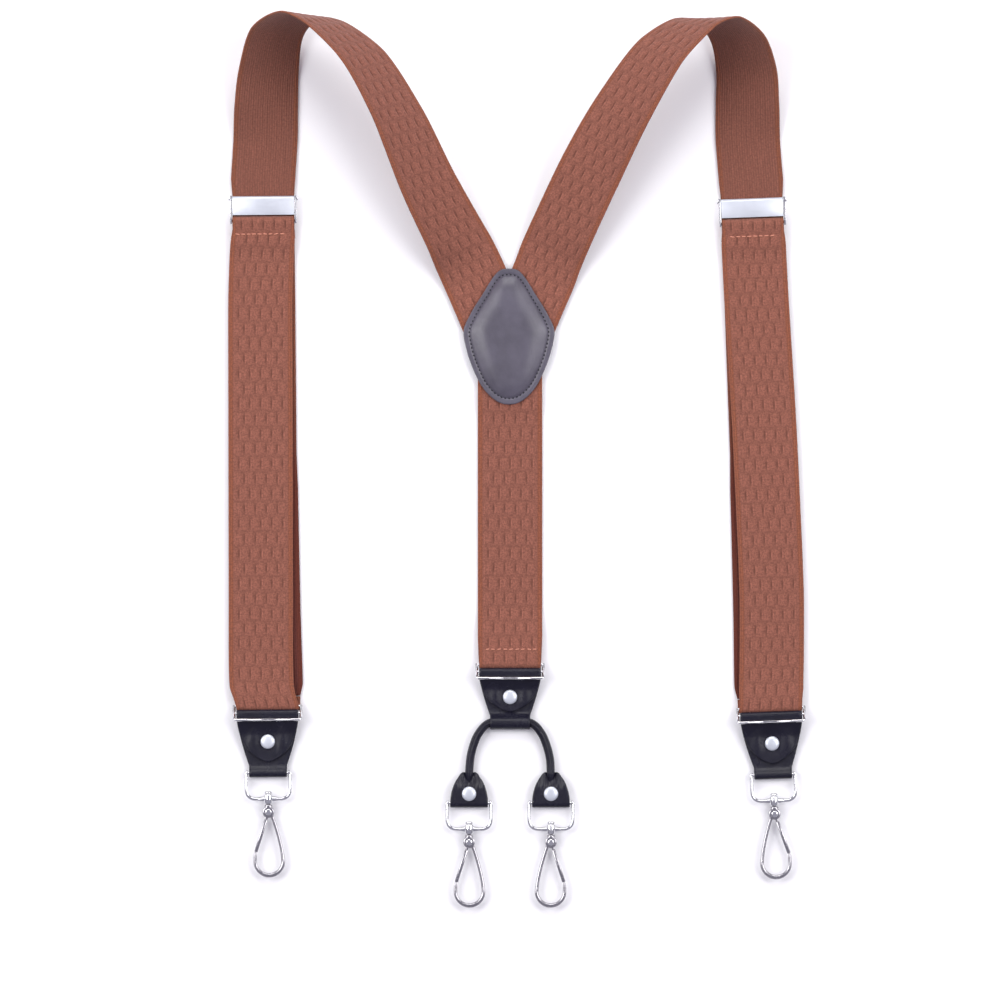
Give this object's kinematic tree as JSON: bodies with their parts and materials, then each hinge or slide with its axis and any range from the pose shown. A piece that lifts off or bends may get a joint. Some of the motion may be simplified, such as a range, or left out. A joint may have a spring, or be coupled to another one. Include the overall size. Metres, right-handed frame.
{
  "type": "suspenders",
  "caption": "Y-back suspenders in woven elastic webbing with a leather yoke patch, cam adjusters, slide loops, leather tabs, D-rings and swivel snap hooks, laid flat.",
  "frame": {"origin": "on the surface that the suspenders lie on, under the middle of the yoke patch", "axes": "+Y along the back strap towards the shoulders, +Z up from the surface, +X to the right seen from above with +Y up"},
  "size_m": [0.3081, 0.4767, 0.0492],
  "materials": {
    "webbing": "brown jacquard elastic webbing with a staggered pattern of raised lozenges",
    "yoke_leather": "semi-gloss padded dark grey leather with a stitched border",
    "leather": "glossy black leather",
    "felt": "thin grey padding",
    "nickel": "bright nickel plate"
  },
  "bodies": {
    "root": {"yoke_patch_front": "yoke_leather", "yoke_padding": "felt", "yoke_patch_back": "yoke_leather", "left_strap": "webbing", "right_strap": "webbing", "back_strap": "webbing"},
    "left_fold": {"left_strap_return": "webbing"},
    "left_adjuster": {"left_adjuster_frame": "nickel", "left_adjuster_pin": "nickel"},
    "left_lever": {"left_adjuster_lever": "nickel"},
    "left_tab": {"left_slide_loop": "nickel", "left_tab": "leather", "left_rivet_cap": "nickel", "left_rivet_base": "nickel"},
    "left_ring": {"left_d_ring": "nickel"},
    "left_hook": {"left_hook": "nickel", "left_swivel_cap": "nickel", "left_gate_pin": "nickel", "left_gate_spring": "nickel"},
    "left_gate": {"left_gate": "nickel"},
    "right_fold": {"right_strap_return": "webbing"},
    "right_adjuster": {"right_adjuster_frame": "nickel", "right_adjuster_pin": "nickel"},
    "right_lever": {"right_adjuster_lever": "nickel"},
    "right_tab": {"right_slide_loop": "nickel", "right_tab": "leather", "right_rivet_cap": "nickel", "right_rivet_base": "nickel"},
    "right_ring": {"right_d_ring": "nickel"},
    "right_hook": {"right_hook": "nickel", "right_swivel_cap": "nickel", "right_gate_pin": "nickel", "right_gate_spring": "nickel"},
    "right_gate": {"right_gate": "nickel"},
    "back_tab": {"back_slide_loop": "nickel", "back_tab": "leather", "back_rivet_cap": "nickel", "back_rivet_base": "nickel"},
    "bridle": {"back_bridle": "leather", "rear_left_rivet_cap": "nickel", "rear_left_rivet_base": "nickel", "rear_right_rivet_cap": "nickel", "rear_right_rivet_base": "nickel"},
    "rear_left_ring": {"rear_left_d_ring": "nickel"},
    "rear_left_hook": {"rear_left_hook": "nickel", "rear_left_swivel_cap": "nickel", "rear_left_gate_pin": "nickel", "rear_left_gate_spring": "nickel"},
    "rear_left_gate": {"rear_left_gate": "nickel"},
    "rear_right_ring": {"rear_right_d_ring": "nickel"},
    "rear_right_hook": {"rear_right_hook": "nickel", "rear_right_swivel_cap": "nickel", "rear_right_gate_pin": "nickel", "rear_right_gate_spring": "nickel"},
    "rear_right_gate": {"rear_right_gate": "nickel"}
  },
  "joints": [
    {"name": "left_loop_slide", "type": "slide", "parent": "root", "child": "left_fold", "axis": [-0.0084, 1, 0], "range_m": [-0.06, 0.008], "deforming": ["left_strap"]},
    {"name": "left_adjuster_slide", "type": "slide", "parent": "left_fold", "child": "left_adjuster", "axis": [-0.0084, 1, 0], "range_m": [-0.06, 0.008], "deforming": ["left_strap_return"]},
    {"name": "left_lever_hinge", "type": "hinge", "parent": "left_adjuster", "child": "left_lever", "pos_m": [-0.13113, 0.071, 0.0044], "axis": [-1, -0.0084, 0], "range_deg": [0, 95]},
    {"name": "left_loop_hinge", "type": "hinge", "parent": "left_fold", "child": "left_tab", "pos_m": [-0.12886, -0.19979, 0.0028], "axis": [-1, -0.0084, 0], "range_deg": [0, 60]},
    {"name": "left_ring_hinge", "type": "hinge", "parent": "left_tab", "child": "left_ring", "pos_m": [-0.12856, -0.23539, 0.0033], "axis": [-1, -0.0084, 0], "range_deg": [0, 80]},
    {"name": "left_hook_swivel", "type": "hinge", "parent": "left_ring", "child": "left_hook", "pos_m": [-0.12844, -0.24929, 0.0033], "axis": [-0.0084, 1, 0], "continuous": true},
    {"name": "left_gate_hinge", "type": "hinge", "parent": "left_hook", "child": "left_gate", "pos_m": [-0.12839, -0.25619, 0.0033], "axis": [0, 0, 1], "range_deg": [0, 22], "stiffness_Nm_per_rad": 0.01, "springref_deg": -17.19},
    {"name": "right_loop_slide", "type": "slide", "parent": "root", "child": "right_fold", "axis": [-0.0372, 0.9993, 0], "range_m": [-0.06, 0.008], "deforming": ["right_strap"]},
    {"name": "right_adjuster_slide", "type": "slide", "parent": "right_fold", "child": "right_adjuster", "axis": [-0.0372, 0.9993, 0], "range_m": [-0.06, 0.008], "deforming": ["right_strap_return"]},
    {"name": "right_lever_hinge", "type": "hinge", "parent": "right_adjuster", "child": "right_lever", "pos_m": [0.12958, 0.0698, 0.0044], "axis": [-0.9993, -0.0372, 0], "range_deg": [0, 95]},
    {"name": "right_loop_hinge", "type": "hinge", "parent": "right_fold", "child": "right_tab", "pos_m": [0.13965, -0.20082, 0.0028], "axis": [-0.9993, -0.0372, 0], "range_deg": [0, 60]},
    {"name": "right_ring_hinge", "type": "hinge", "parent": "right_tab", "child": "right_ring", "pos_m": [0.14097, -0.23639, 0.0033], "axis": [-0.9993, -0.0372, 0], "range_deg": [0, 80]},
    {"name": "right_hook_swivel", "type": "hinge", "parent": "right_ring", "child": "right_hook", "pos_m": [0.14149, -0.25028, 0.0033], "axis": [-0.0372, 0.9993, 0], "continuous": true},
    {"name": "right_gate_hinge", "type": "hinge", "parent": "right_hook", "child": "right_gate", "pos_m": [0.14174, -0.25718, 0.0033], "axis": [0, 0, -1], "range_deg": [0, 22], "stiffness_Nm_per_rad": 0.01, "springref_deg": -17.19},
    {"name": "back_loop_hinge", "type": "hinge", "parent": "root", "child": "back_tab", "pos_m": [0.00055, -0.1776, 0.0028], "axis": [-1, 0, 0], "range_deg": [0, 60]},
    {"name": "bridle_hinge", "type": "hinge", "parent": "back_tab", "child": "bridle", "pos_m": [0.00055, -0.2086, 0.00375], "axis": [-1, 0, 0], "range_deg": [0, 70]},
    {"name": "rear_left_ring_hinge", "type": "hinge", "parent": "bridle", "child": "rear_left_ring", "pos_m": [-0.0213, -0.2515, 0.0033], "axis": [-1, 0, 0], "range_deg": [0, 80]},
    {"name": "rear_left_hook_swivel", "type": "hinge", "parent": "rear_left_ring", "child": "rear_left_hook", "pos_m": [-0.0213, -0.2654, 0.0033], "axis": [0, 1, 0], "continuous": true},
    {"name": "rear_left_gate_hinge", "type": "hinge", "parent": "rear_left_hook", "child": "rear_left_gate", "pos_m": [-0.0213, -0.2723, 0.0033], "axis": [0, 0, 1], "range_deg": [0, 22], "stiffness_Nm_per_rad": 0.01, "springref_deg": -17.19},
    {"name": "rear_right_ring_hinge", "type": "hinge", "parent": "bridle", "child": "rear_right_ring", "pos_m": [0.0224, -0.2515, 0.0033], "axis": [-1, 0, 0], "range_deg": [0, 80]},
    {"name": "rear_right_hook_swivel", "type": "hinge", "parent": "rear_right_ring", "child": "rear_right_hook", "pos_m": [0.0224, -0.2654, 0.0033], "axis": [0, 1, 0], "continuous": true},
    {"name": "rear_right_gate_hinge", "type": "hinge", "parent": "rear_right_hook", "child": "rear_right_gate", "pos_m": [0.0224, -0.2723, 0.0033], "axis": [0, 0, -1], "range_deg": [0, 22], "stiffness_Nm_per_rad": 0.01, "springref_deg": -17.19}
  ],
  "couplings": [
    {"joint": "left_adjuster_slide", "follows": "left_loop_slide", "ratio": 1},
    {"joint": "right_adjuster_slide", "follows": "right_loop_slide", "ratio": 1}
  ]
}
